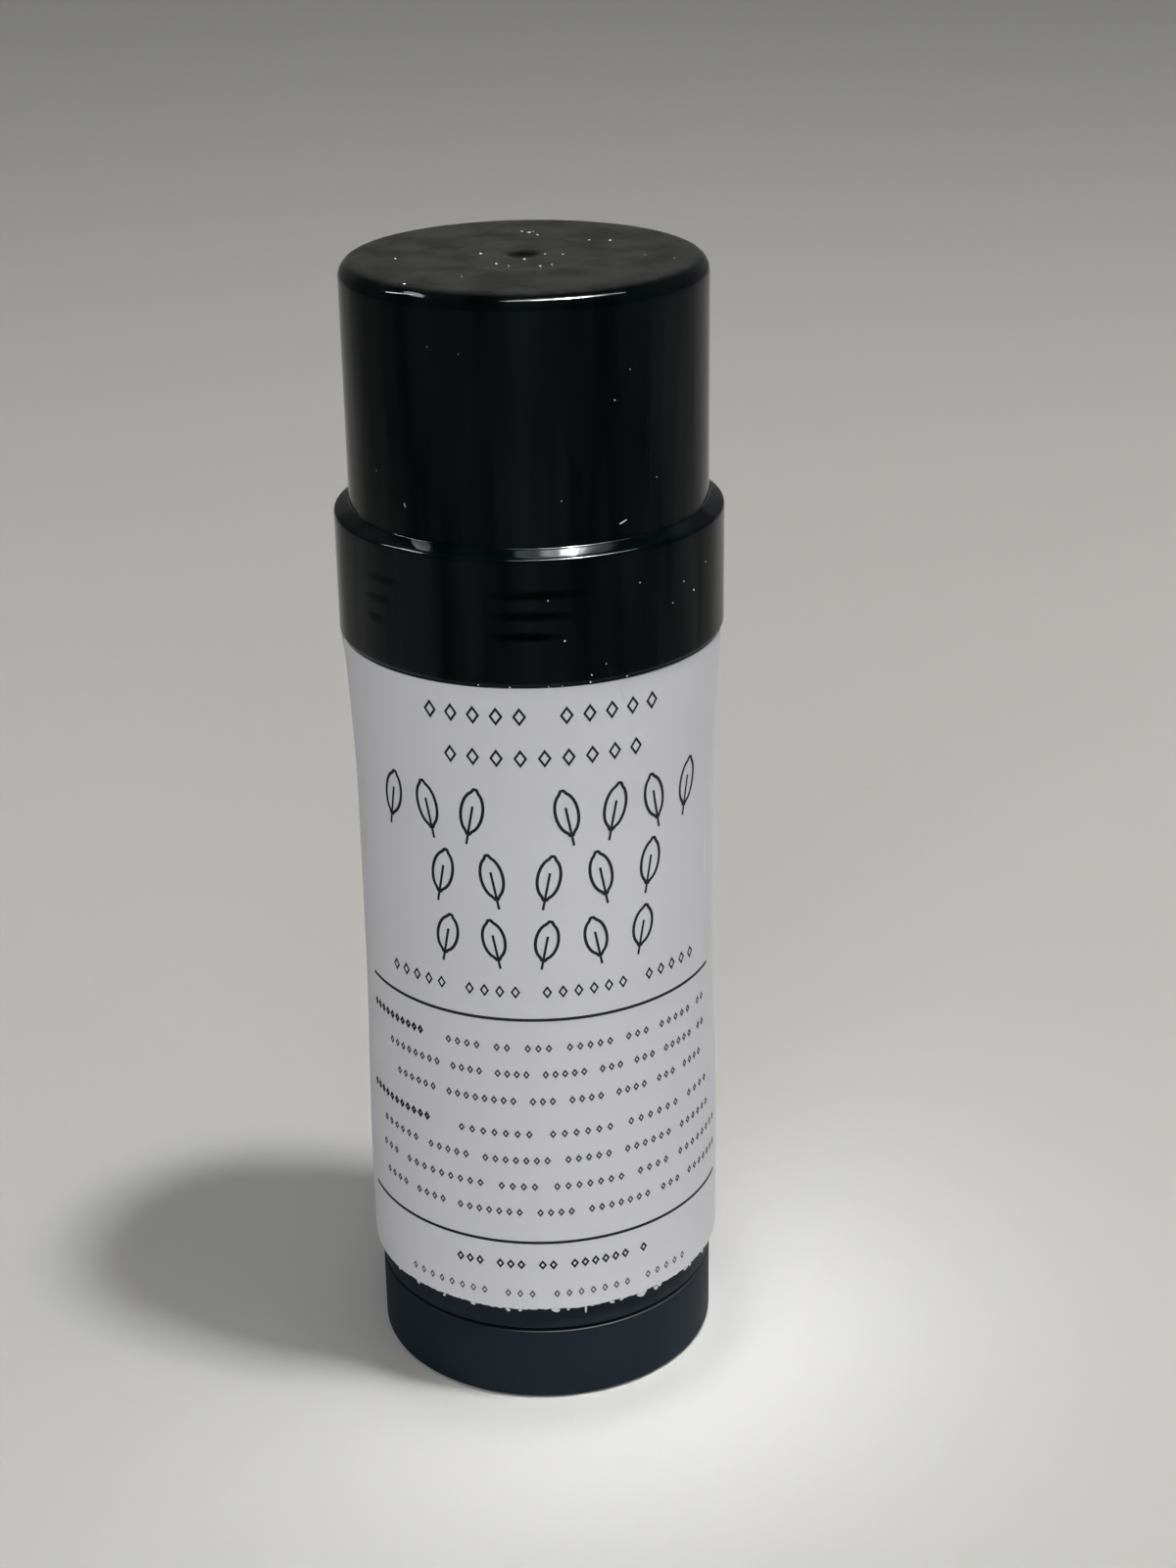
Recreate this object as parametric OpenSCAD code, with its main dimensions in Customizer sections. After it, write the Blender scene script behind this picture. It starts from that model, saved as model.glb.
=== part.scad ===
// Round twist-up stick: barrel, twist dial with its feed screw, elevator, butter bar, screw cap, label
// +Z runs up the stick, the foot stands on Z = 0 and the label faces -Y

/* [Barrel] */
// Outer diameter of the straight tube
tube_d = 35.6; // [32:0.1:42]
// Thickness of the tube wall
tube_wall = 1.6; // [1.2:0.1:2.2]
// Height from the barrel's foot to the top of its shoulder
barrel_h = 71.5; // [50:0.5:100]
// Height of the cone that widens the tube up to the shoulder
cone_h = 14.3; // [8:0.1:24]
// How far the shoulder stands out past the straight tube
shoulder_out = 0.67; // [0.4:0.01:1]
// Chamfer round the barrel's foot at the groove
foot_chamfer = 0.2; // [0.1:0.05:0.4]
// How far the bare band at the foot stands back from the straight tube
band_in = 0.05; // [0.05:0.05:0.3]
// Height of the bare band at the foot, its top edge hidden by the label
band_h = 3.5; // [3:0.1:6]
// Height of the neck above the shoulder
neck_h = 11.4; // [8:0.1:18]
// Thickness of the neck wall at the root of its thread
neck_wall = 0.8; // [0.6:0.05:1]
// Chamfer round the neck's rim
neck_chamfer = 0.3; // [0.1:0.05:0.5]
// Thickness of the barrel's floor
floor_t = 1.8; // [1.2:0.1:3]

/* [Guide ribs] */
// Number of ribs in the bore that stop the elevator from turning
rib_count = 4; // [2:1:6]
// Width of each rib
rib_w = 1.2; // [0.8:0.1:2]
// How far each rib stands into the bore
rib_out = 0.5; // [0.3:0.05:0.8]
// How far each rib ends below the neck's rim
rib_drop = 4; // [2:0.5:8]
// Clearance round each rib
rib_gap = 0.3; // [0.2:0.05:0.5]

/* [Twist dial] */
// Height of the dial
dial_h = 8.2; // [6:0.1:14]
// Groove between the dial's rim and the barrel's foot
dial_gap = 0.3; // [0.1:0.05:0.8]
// Thickness of the dial's side wall
dial_wall = 1.6; // [1.2:0.1:2.5]
// Thickness of the dial's base plate
dial_base_t = 2; // [1.5:0.1:3]
// Rounding of the dial's lower edge
dial_edge_r = 0.5; // [0.2:0.05:0.8]
// Rounding of the dial's rim at the groove
dial_rim_r = 0.2; // [0.1:0.05:0.4]
// Width of the ring that the dial stands on
foot_ring_w = 3; // [2:0.1:6]
// Depth of the recess inside that ring
foot_recess = 0.6; // [0.2:0.1:0.9]
// Diameter of the collar that the barrel's floor sits on
collar_d = 14; // [13:0.5:18]
// Diameter of the journal that turns in the floor
journal_d = 9; // [8.5:0.1:11]
// Radial running clearance of the journal
journal_gap = 0.08; // [0.02:0.01:0.1]
// How far the snap bead stands out past the journal
bead_out = 0.45; // [0.3:0.05:0.8]
// Height of the snap bead
bead_h = 1.2; // [0.8:0.1:2]
// End play between the snap bead and the floor
bead_play = 0.1; // [0.05:0.05:0.3]

/* [Feed screw] */
// Outer diameter of the feed screw
screw_d = 6.4; // [5.6:0.1:7.5]
// Depth of its thread
screw_depth = 0.9; // [0.7:0.05:1.2]
// Rise of the elevator for one turn of the dial
screw_lead = 5.5; // [4.5:0.1:7]
// Width of the thread's crest
crest_w = 1.2; // [0.8:0.1:1.5]
// Width of each sloping flank
flank_w = 0.8; // [0.5:0.1:1]
// How far the screw ends below the neck's rim
screw_drop = 6; // [4:0.5:12]
// Clearance of the thread in the elevator's hub
thread_gap = 0.28; // [0.2:0.02:0.4]
// Steps round one turn of the thread
thread_steps = 16; // [13:1:24]

/* [Elevator] */
// Height of the elevator's underside above the barrel's floor at its lowest
elevator_lift = 2; // [1.8:0.1:5]
// Radial clearance of the elevator and the bar in the bore
slide_gap = 0.3; // [0.2:0.05:0.5]
// Thickness of the elevator's plate
plate_t = 1.6; // [1:0.1:2.5]
// Height of the cup wall on the plate
cup_h = 6.5; // [3:0.5:12]
// Thickness of the cup wall
cup_wall = 0.9; // [0.7:0.05:1.5]
// Diameter of the threaded hub
hub_d = 12; // [11:0.5:15]
// Height of the threaded hub
hub_h = 9; // [7:0.5:14]

/* [Butter bar] */
// How far the edge of the bar lies below the neck's rim
bar_drop = 0.5; // [0.3:0.1:6]
// Rise of the bar's domed top
dome_h = 1.2; // [0.6:0.1:1.6]
// Clearance between the bar's bore and the feed screw
core_gap = 0.4; // [0.3:0.05:0.8]
// Shrinkage gap between the cast bar and the walls of the cup and the hub
cast_gap = 0.05; // [0.02:0.01:0.1]

/* [Screw cap] */
// Radial room between the neck and the cap's bore for the thread
thread_room = 0.7; // [0.5:0.05:1]
// Thickness of the skirt wall
skirt_wall = 1.25; // [1:0.05:2]
// Thickness of the wall above the skirt
crown_wall = 1.25; // [1:0.05:1.6]
// Height of the cap above its ledge
crown_h = 23.25; // [22:0.25:40]
// Thickness of the cap's top
crown_t = 1.4; // [1:0.1:2.5]
// Rounding of the cap's top edge
crown_edge_r = 1.6; // [0.5:0.1:2.2]
// Clearance between the neck's rim and the step inside the cap
rim_gap = 0.3; // [0.1:0.05:0.8]
// Thickness of the cap at its ledge
ledge_t = 1.25; // [0.8:0.05:2]
// How far the ledge falls from the crown out to its rounded edge
ledge_fall = 0.7; // [0.2:0.05:0.9]
// Rounding of the ledge's outer edge
ledge_r = 0.5; // [0.3:0.05:0.7]
// Rounding of the skirt's lower edge
lip_r = 0.5; // [0.2:0.05:0.6]
// Diameter of the moulding dimple in the cap's top
dimple_d = 4.4; // [3:0.2:8]
// Depth of the moulding dimple
dimple_depth = 0.25; // [0.05:0.05:0.4]

/* [Label] */
// Thickness of the label
paper_t = 0.16; // [0.08:0.02:0.24]
// Thickness of the adhesive under the label
glue_t = 0.04; // [0.02:0.01:0.06]
// Height of bare barrel that shows below the label
band_show = 2.95; // [1:0.05:3]
// Gap between the label's top edge and the shoulder
label_drop = 0.25; // [0.1:0.05:0.6]
// How far the loose hem stands off the tube
hem_out = 0.45; // [0.1:0.05:0.6]
// Height over which the hem stands off fully
hem_h = 9; // [4:1:16]
// Height over which the hem eases back to the tube
hem_ease = 25; // [10:1:40]
// Width of the overlap where the label's ends meet at the back
overlap_w = 5; // [3:0.5:10]

/* [Hidden] */
$fn = 96;
eps = 0.3;

tube_r = tube_d / 2;
bore_r = tube_r - tube_wall;
shoulder_r = tube_r + shoulder_out;
band_r = tube_r - band_in;
neck_r = bore_r + neck_wall;

foot_z = dial_h + dial_gap;
floor_z = foot_z + floor_t;
shoulder_z = foot_z + barrel_h;
kink_z = shoulder_z - cone_h;
neck_z = shoulder_z + neck_h;

journal_r = journal_d / 2;
bead_z = floor_z + bead_play;
screw_z = bead_z + bead_h;
screw_top = neck_z - screw_drop;
screw_r = screw_d / 2;

slide_r = bore_r - slide_gap;
plate_z = floor_z + elevator_lift;
plate_top = plate_z + plate_t;
cup_z = plate_top + cup_h;
hub_z = plate_z + hub_h;
notch_w = rib_w + 2 * rib_gap;
notch_r = bore_r - rib_out - rib_gap;

bar_z = neck_z - bar_drop;
core_r = screw_r + core_gap;
dome_r = (slide_r * slide_r + dome_h * dome_h) / (2 * dome_h);

cap_bore_r = neck_r + thread_room;
skirt_r = cap_bore_r + skirt_wall;
crown_r = bore_r + crown_wall;
step_z = neck_z + rim_gap;
ledge_z = step_z + ledge_t;
cap_z = ledge_z + crown_h;
dimple_r = (dimple_d * dimple_d / 4 + dimple_depth * dimple_depth) / (2 * dimple_depth);

label_z = foot_z + band_show;
label_top = shoulder_z - label_drop;
label_top_r = tube_r + shoulder_out * (label_top - kink_z) / cone_h;

// Flat area between two radii and two heights, for turning about Z
module band_area(r_low, r_high, z_low, z_high) {
    translate([r_low, z_low]) square([r_high - r_low, z_high - z_low]);
}

// Flat area from the axis out to r_out, with its two outer corners rounded
module block_area(r_out, z_low, z_high, foot_r, head_r) {
    band_area(0, r_out, z_low + foot_r, z_high - head_r);
    band_area(0, r_out - foot_r, z_low, z_high - head_r);
    band_area(0, r_out - head_r, z_low + foot_r, z_high);
    translate([r_out - foot_r, z_low + foot_r]) circle(foot_r);
    translate([r_out - head_r, z_high - head_r]) circle(head_r);
}

// Right half of a disc centred on the axis
module half_disc(radius, z) {
    intersection() {
        translate([0, z]) circle(radius);
        band_area(0, radius + eps, z - radius - eps, z + radius + eps);
    }
}

// Bars that stand in the bore at every rib's place, from r_in outwards
module at_ribs(r_in, r_out, width, z_low, z_high) {
    for (i = [0 : rib_count - 1])
        rotate([0, 0, 360 * i / rib_count])
            translate([r_in, -width / 2, z_low]) cube([r_out - r_in, width, z_high - z_low]);
}

// Corner of the thread's form number j: four corners to each lead, root, crest, crest, root
function form_z(j, crest, flank, lead) =
    floor(j / 4) * lead + [-crest / 2 - flank, -crest / 2, crest / 2, crest / 2 + flank][j % 4];
function form_r(j, root, crest_r) = (j % 4 == 0 || j % 4 == 3) ? root : crest_r;

// Solid screw about Z whose ends follow the helix, long enough to be cut flat at z_low and z_high
module helix_bar(root, crest_r, crest, flank, lead, z_low, z_high) {
    first = floor(z_low / lead) - 2;
    leads = ceil((z_high - z_low) / lead) + 4;
    rows = 4 * leads;
    n = thread_steps;
    side = [for (i = [0 : n - 1], j = [0 : rows - 1])
        let (a = 360 * i / n, r = form_r(j, root, crest_r))
        [r * cos(a), r * sin(a), form_z(j, crest, flank, lead) + lead * (first + i / n)]];
    low = n * rows;
    high = low + 1;
    points = concat(side, [[0, 0, lead * (first + 0.5) - crest / 2 - flank],
                           [0, 0, lead * (first + leads - 0.5) + crest / 2 + flank]]);
    // After one turn the column starts four corners higher
    function id(i, j) = i < n ? i * rows + j : j + 4;
    walls = [for (i = [0 : n - 1], j = [0 : rows - 2]) if (i < n - 1 || j + 5 < rows)
        each [[id(i, j), id(i + 1, j + 1), id(i + 1, j)], [id(i, j), id(i, j + 1), id(i + 1, j + 1)]]];
    foot_fan = [for (i = [0 : n - 1]) [low, id(i, 0), id(i + 1, 0)]];
    foot_step = [for (j = [0 : 3]) [low, j + 1, j]];
    last = (n - 1) * rows;
    head_fan = [for (i = [0 : n - 2]) [high, id(i + 1, rows - 1), id(i, rows - 1)]];
    head_side = [[high, rows - 1, last + rows - 5]];
    head_step = [for (j = [rows - 5 : rows - 2]) [high, last + j, last + j + 1]];
    polyhedron(points, concat(walls, foot_fan, foot_step, head_fan, head_side, head_step));
}

// The same screw with flat ends
module thread_rod(root, crest_r, crest, flank, z_low, z_high) {
    intersection() {
        helix_bar(root, crest_r, crest, flank, screw_lead, z_low, z_high);
        translate([-2 * crest_r, -2 * crest_r, z_low]) cube([4 * crest_r, 4 * crest_r, z_high - z_low]);
    }
}

module barrel() {
    neck_corner = neck_r - neck_chamfer;
    color("#14181c") {
        rotate_extrude() difference() {
            polygon([[0, foot_z], [band_r - foot_chamfer, foot_z], [band_r, foot_z + foot_chamfer],
                     [band_r, foot_z + band_h], [tube_r, foot_z + band_h],
                     [tube_r, kink_z], [shoulder_r, shoulder_z], [neck_r, shoulder_z],
                     [neck_r, neck_z - neck_chamfer], [neck_corner, neck_z], [0, neck_z]]);
            band_area(0, bore_r, floor_z, neck_z + eps);
            band_area(0, journal_r + journal_gap, foot_z - eps, floor_z + eps);
        }
        at_ribs(bore_r - rib_out, bore_r + neck_wall / 2, rib_w, floor_z - floor_t / 2, neck_z - rib_drop);
    }
}

// Dial, journal, snap bead and feed screw, moulded in one
module twist_dial() {
    bead_r = journal_r + bead_out;
    color("#1c2530") {
        rotate_extrude() {
            difference() {
                block_area(band_r, 0, dial_h, dial_edge_r, dial_rim_r);
                band_area(0, band_r - dial_wall, dial_base_t, foot_z + eps);
                band_area(0, band_r - foot_ring_w, -eps, foot_recess);
            }
            band_area(0, collar_d / 2, dial_base_t / 2 + foot_recess / 2, foot_z);
            band_area(0, journal_r, foot_z - eps, bead_z + eps);
            polygon([[0, bead_z], [bead_r, bead_z], [bead_r, bead_z + bead_h / 2],
                     [journal_r - bead_out / 2, screw_z], [0, screw_z]]);
        }
        thread_rod(screw_r - screw_depth, screw_r, crest_w, flank_w, screw_z - bead_h / 2, screw_top);
    }
}

module elevator() {
    color("#20242a") difference() {
        rotate_extrude() {
            band_area(0, slide_r, plate_z, plate_top);
            band_area(slide_r - cup_wall, slide_r, plate_z, cup_z);
            band_area(0, hub_d / 2, plate_z, hub_z);
        }
        thread_rod(screw_r - screw_depth + thread_gap, screw_r + thread_gap,
                   crest_w + thread_gap, flank_w, plate_z - eps, hub_z + eps);
        at_ribs(notch_r, bore_r + eps, notch_w, plate_z - eps, cup_z + eps);
    }
}

// Cast bar: it fills the cup round the hub and has the ribs' grooves down its side
module butter_bar() {
    color("#f0e2b8") difference() {
        rotate_extrude() difference() {
            union() {
                band_area(0, slide_r - cup_wall - cast_gap, plate_top, cup_z);
                band_area(0, slide_r, cup_z, bar_z);
                intersection() {
                    half_disc(dome_r, bar_z + dome_h - dome_r);
                    band_area(0, slide_r, cup_z, bar_z + dome_h);
                }
            }
            band_area(0, hub_d / 2 + cast_gap, plate_top - eps, hub_z);
            band_area(0, core_r, hub_z - eps, screw_top + core_gap);
        }
        at_ribs(notch_r, bore_r + eps, notch_w, plate_top - eps, bar_z + dome_h + eps);
    }
}

// Section of the skirt under a ledge that falls outwards and ends in a rounding
module skirt_area() {
    fall_a = atan(ledge_fall / (skirt_r - crown_r));
    edge_r = skirt_r - ledge_r;
    edge_z = ledge_z - (edge_r - crown_r) * tan(fall_a) - ledge_r / cos(fall_a);
    band_area(0, skirt_r, shoulder_z + lip_r, edge_z);
    band_area(0, skirt_r - lip_r, shoulder_z, edge_z);
    translate([skirt_r - lip_r, shoulder_z + lip_r]) circle(lip_r);
    translate([edge_r, edge_z]) circle(ledge_r);
    polygon([[0, edge_z], [edge_r, edge_z],
             [edge_r + ledge_r * sin(fall_a), edge_z + ledge_r * cos(fall_a)],
             [crown_r, ledge_z], [0, ledge_z]]);
}

module screw_cap() {
    color("#080c0f") rotate_extrude() difference() {
        union() {
            skirt_area();
            block_area(crown_r, shoulder_z, cap_z, lip_r, crown_edge_r);
        }
        band_area(0, cap_bore_r, shoulder_z - eps, step_z);
        band_area(0, crown_r - crown_wall, step_z - eps, cap_z - crown_t);
        half_disc(dimple_r, cap_z + dimple_r - dimple_depth);
    }
}

// Section of the label: its hem stands off, its straight part and its cone lie on the glue
module sheet_area(under, over) {
    hem_z = label_z + hem_h;
    ease_z = hem_z + hem_ease;
    line = [[tube_r + hem_out, label_z], [tube_r + hem_out, hem_z], [tube_r, ease_z], [tube_r, kink_z],
            [label_top_r, label_top]];
    n = len(line);
    polygon([for (i = [0 : 2 * n - 1])
        let (outside = i < n, p = line[outside ? i : 2 * n - 1 - i])
        [p[0] + (outside ? over : under), p[1]]]);
}

module label() {
    overlap_a = 360 * overlap_w / (2 * PI * tube_r);
    color("#e4e5ea") {
        rotate_extrude() sheet_area(glue_t, glue_t + paper_t);
        rotate([0, 0, 90 - overlap_a / 2]) rotate_extrude(angle = overlap_a)
            sheet_area(glue_t + paper_t / 2, glue_t + 2 * paper_t);
    }
}

screw_cap();
barrel();
elevator();
twist_dial();
butter_bar();
label();
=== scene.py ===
import math

import bmesh
import bpy
from mathutils import Euler, Matrix, Quaternion, Vector


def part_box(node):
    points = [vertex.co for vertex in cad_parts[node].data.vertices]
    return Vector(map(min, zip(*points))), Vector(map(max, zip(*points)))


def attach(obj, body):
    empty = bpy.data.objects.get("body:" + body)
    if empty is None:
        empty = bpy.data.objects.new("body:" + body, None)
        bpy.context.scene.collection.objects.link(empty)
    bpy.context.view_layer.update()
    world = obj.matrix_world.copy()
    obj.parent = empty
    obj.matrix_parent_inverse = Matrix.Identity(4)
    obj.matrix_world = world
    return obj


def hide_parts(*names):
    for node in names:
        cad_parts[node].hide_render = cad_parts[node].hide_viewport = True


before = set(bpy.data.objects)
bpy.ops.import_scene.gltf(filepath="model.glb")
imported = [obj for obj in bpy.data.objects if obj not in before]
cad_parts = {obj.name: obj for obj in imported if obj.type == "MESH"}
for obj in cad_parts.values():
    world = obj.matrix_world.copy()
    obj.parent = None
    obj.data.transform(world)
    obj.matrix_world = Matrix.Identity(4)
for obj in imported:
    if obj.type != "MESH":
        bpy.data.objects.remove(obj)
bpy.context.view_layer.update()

# Twist-up stick. Lengths are in millimetres, angles in degrees to the right of the label's middle
capLow, capHigh = (corner * 1000 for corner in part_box("screw_cap"))
barrelLow, barrelHigh = (corner * 1000 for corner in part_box("barrel"))
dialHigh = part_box("twist_dial")[1] * 1000
barLow, barHigh = (corner * 1000 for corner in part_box("butter_bar"))
paperLow, paperHigh = (corner * 1000 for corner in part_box("label"))

ridgeSunk = 0.15  # how far the foot of a thread lies inside its wall
touching = 0.01  # vertices nearer than this to a height or a side lie on it


def mm(length):
    return length / 1000


# Modelling helpers

def clearSelection():
    if bpy.context.object and bpy.context.object.mode != "OBJECT":
        bpy.ops.object.mode_set(mode="OBJECT")
    bpy.ops.object.select_all(action="DESELECT")


def pickPiece(piece):
    clearSelection()
    piece.select_set(True)
    bpy.context.view_layer.objects.active = piece


def selectWhere(piece, test):
    # Selects the vertices whose place passes the test, in edit mode
    bpy.ops.mesh.select_mode(type="VERT")
    bpy.ops.mesh.select_all(action="DESELECT")
    mesh = bmesh.from_edit_mesh(piece.data)
    for vertex in mesh.verts:
        vertex.select_set(test(vertex.co * 1000))
    mesh.select_flush_mode()
    bmesh.update_edit_mesh(piece.data)


def applyModifier(piece, kind, **settings):
    pickPiece(piece)
    modifier = piece.modifiers.new(kind.title(), kind)
    for name, value in settings.items():
        setattr(modifier, name, value)
    bpy.ops.object.modifier_apply(modifier=modifier.name)


def finishPiece(piece, material, body, smoothAngle=35):
    pickPiece(piece)
    bpy.ops.object.transform_apply(location=True, rotation=True, scale=True)
    bpy.ops.object.shade_smooth_by_angle(angle=math.radians(smoothAngle))
    piece.data.materials.clear()
    piece.data.materials.append(material)
    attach(piece, body)
    return piece


def joinPieces(name, parts):
    clearSelection()
    for part in parts:
        part.select_set(True)
    bpy.context.view_layer.objects.active = parts[0]
    bpy.ops.object.join()
    parts[0].name = name
    return parts[0]


def cleanMesh(piece):
    pickPiece(piece)
    bpy.ops.object.mode_set(mode="EDIT")
    bpy.ops.mesh.select_all(action="SELECT")
    bpy.ops.mesh.remove_doubles(threshold=mm(0.002))
    bpy.ops.mesh.normals_make_consistent(inside=False)
    bpy.ops.object.mode_set(mode="OBJECT")


def arcPoints(radius, height, rounding, fromAngle, toAngle, count=8):
    # Points of a rounding about (radius, height); 0 degrees points outwards and 90 up
    angles = [math.radians(fromAngle + (toAngle - fromAngle) * i / count) for i in range(count + 1)]
    return [(radius + rounding * math.cos(a), height + rounding * math.sin(a)) for a in angles]


def turnPiece(name, outline, steps=192, tube=False):
    # A ring that is extruded and resized from point to point of the outline. It is closed at the axis
    # at both ends, or, for a tube, where the outline comes back to its first point
    clearSelection()
    radius, height = outline[0]
    bpy.ops.mesh.primitive_circle_add(vertices=steps, radius=mm(radius), enter_editmode=True)
    piece = bpy.context.object
    piece.name = name
    bpy.ops.transform.translate(value=(0, 0, mm(height)))
    for nextRadius, nextHeight in outline[1:]:
        bpy.ops.mesh.extrude_edges_move()
        bpy.ops.transform.translate(value=(0, 0, mm(nextHeight - height)))
        size = nextRadius / radius
        bpy.ops.transform.resize(value=(size, size, 1), center_override=(0, 0, mm(nextHeight)))
        radius, height = nextRadius, nextHeight
    if not tube:
        bpy.ops.mesh.merge(type="CENTER")
        firstRadius, firstHeight = outline[0]
        selectWhere(piece, lambda p: abs(p.z - firstHeight) < 0.001
                    and abs(math.hypot(p.x, p.y) - firstRadius) < 0.001)
        bpy.ops.mesh.merge(type="CENTER")
    bpy.ops.object.mode_set(mode="OBJECT")
    cleanMesh(piece)
    return piece


def smoothCopy(node, name):
    # A merged copy of a CAD part whose shape is right
    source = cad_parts[node]
    piece = bpy.data.objects.new(name, source.data.copy())
    bpy.context.scene.collection.objects.link(piece)
    cleanMesh(piece)
    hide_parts(node)
    return piece


def threadRidge(name, wall, crest, lowZ, turns, pitch=2.0, foot=1.1, top=0.45, stepsPerTurn=72):
    # A trapezoid with its foot a little inside the wall, wound up by the Screw modifier
    outwards = 1 if crest > wall else -1
    buried = wall - ridgeSunk * outwards
    clearSelection()
    bpy.ops.mesh.primitive_plane_add(size=1, rotation=(math.pi / 2, 0, 0), enter_editmode=True)
    ridge = bpy.context.object
    ridge.name = name
    bpy.ops.transform.resize(value=(mm(abs(crest - buried)), 1, mm(foot)))
    bpy.ops.transform.translate(value=(mm((crest + buried) / 2), 0, mm(lowZ)))
    bpy.ops.object.mode_set(mode="OBJECT")
    bpy.ops.object.transform_apply(location=True, rotation=True, scale=True)
    bpy.ops.object.mode_set(mode="EDIT")
    selectWhere(ridge, lambda p: abs(p.x - crest) < touching)
    bpy.ops.transform.resize(value=(1, 1, top / foot), center_override=(mm(crest), 0, mm(lowZ)))
    bpy.ops.object.mode_set(mode="OBJECT")
    applyModifier(ridge, "SCREW", angle=2 * math.pi * turns, screw_offset=mm(pitch * turns),
                  steps=int(stepsPerTurn * turns), render_steps=int(stepsPerTurn * turns), axis="Z")
    bpy.ops.object.mode_set(mode="EDIT")
    bpy.ops.mesh.select_all(action="SELECT")
    bpy.ops.mesh.fill_holes(sides=4)
    bpy.ops.object.mode_set(mode="OBJECT")
    cleanMesh(ridge)
    return ridge


# Materials

def addNode(material, kind, **values):
    node = material.node_tree.nodes.new(kind)
    for name, value in values.items():
        if name in node.inputs:
            node.inputs[name].default_value = value
        else:
            setattr(node, name, value)
    return node


def startMaterial(name, colour, roughness):
    material = bpy.data.materials.new(name)
    material.use_nodes = True
    shader = material.node_tree.nodes["Principled BSDF"]
    shader.inputs["Base Color"].default_value = (*colour, 1)
    shader.inputs["Roughness"].default_value = roughness
    return material, shader


def join(material, source, target):
    material.node_tree.links.new(source, target)


def objectPattern(material, scale, stretch=(1, 1, 1)):
    # Object coordinates in millimetres times scale, stretched along the axes
    place = addNode(material, "ShaderNodeTexCoord")
    mapping = addNode(material, "ShaderNodeMapping")
    mapping.inputs["Scale"].default_value = tuple(1000 * scale * s for s in stretch)
    join(material, place.outputs["Object"], mapping.inputs["Vector"])
    return mapping.outputs["Vector"]


def objectParts(material):
    place = addNode(material, "ShaderNodeTexCoord")
    parts = addNode(material, "ShaderNodeSeparateXYZ")
    join(material, place.outputs["Object"], parts.inputs["Vector"])
    return parts.outputs


def noiseAt(material, scale, stretch=(1, 1, 1), detail=3.0):
    noise = addNode(material, "ShaderNodeTexNoise", Scale=1.0, Detail=detail)
    join(material, objectPattern(material, scale, stretch), noise.inputs["Vector"])
    return noise.outputs["Fac"]


def spread(material, value, fromLow, fromHigh, toLow, toHigh):
    step = addNode(material, "ShaderNodeMapRange")
    names = ("From Min", "From Max", "To Min", "To Max")
    for name, number in zip(names, (fromLow, fromHigh, toLow, toHigh)):
        step.inputs[name].default_value = number
    join(material, value, step.inputs["Value"])
    return step.outputs["Result"]


def addBump(material, shader, height, strength, distance):
    bump = addNode(material, "ShaderNodeBump", Strength=strength, Distance=mm(distance))
    join(material, height, bump.inputs["Height"])
    before = shader.inputs["Normal"].links
    if before:
        join(material, before[0].from_socket, bump.inputs["Normal"])
    join(material, bump.outputs["Normal"], shader.inputs["Normal"])


def blendColours(material, factor, first, second):
    mix = addNode(material, "ShaderNodeMix", data_type="RGBA")
    join(material, factor, mix.inputs[0])
    for socket, colour in ((mix.inputs[6], first), (mix.inputs[7], second)):
        if isinstance(colour, tuple):
            socket.default_value = (*colour, 1)
        else:
            join(material, colour, socket)
    return mix.outputs[2]


def addMath(material, operation, first, second):
    node = addNode(material, "ShaderNodeMath", operation=operation)
    for socket, value in zip(node.inputs, (first, second)):
        if isinstance(value, float):
            socket.default_value = value
        else:
            join(material, value, socket)
    return node.outputs["Value"]


capFinish = {
    "colour": (0.0005, 0.0016, 0.0021),
    "flowColour": (0.0020, 0.0048, 0.0062),
    # painted sheen: the top face is lightened to this colour in place of its reflection of the room
    "paintedSheenColour": (0.020, 0.0205, 0.0155),
    "roughness": (0.045, 0.09),
    "filmRoughness": 0.3,
    # the painted sheen and the dull film start this far under the very top, and are full from there
    "sheenFilmFrom": 0.3,
    "sheenFilmFull": 0.06,
    "specular": (0.035, 0.095),
    # scale, stretch and detail of the noise in flow marks, sheen and film, smudges and waves
    "flow": (0.2, (1, 1, 0.09), 4.0),
    "flowRange": (0.38, 0.60),
    "sheenFilmGrain": (1.2, (1, 1, 1), 5.0),
    "sheenFilmRange": (0.3, 0.7, 0.75, 1.0),
    "smudge": (0.16, (1, 1, 0.6), 4.0),
    "smudgeRange": (0.35, 0.7),
    "waves": (0.25, (1, 1, 0.04), 2.0),
    "waveStrength": 0.6,
    "waveDepth": 0.008,
    # painted shade: the sink marks get this darker colour and this share of the specular
    "sinkShadeColour": (0.0002, 0.0006, 0.0008),
    "sinkShine": 0.2,
    "sinkDepth": 0.045,
    "sinkHeight": 0.5,
    "sinkDrift": 1.5,
    "sinkTaper": 2,
    # where a mark starts and where it is full, as shares of its half width
    "sinkEdge": (1.2, 0.5),
    # height over the thread inside, and share of the strength
    "sinkRows": [(88.9, 0.85), (86.9, 0.9), (84.9, 1.0)],
    # angle, half the width in degrees, and strength
    "sinkPatches": [(1.5, 13.5, 1.0), (-47, 8, 0.6), (118, 12, 0.7), (-152, 10, 0.5)],
}


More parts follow.
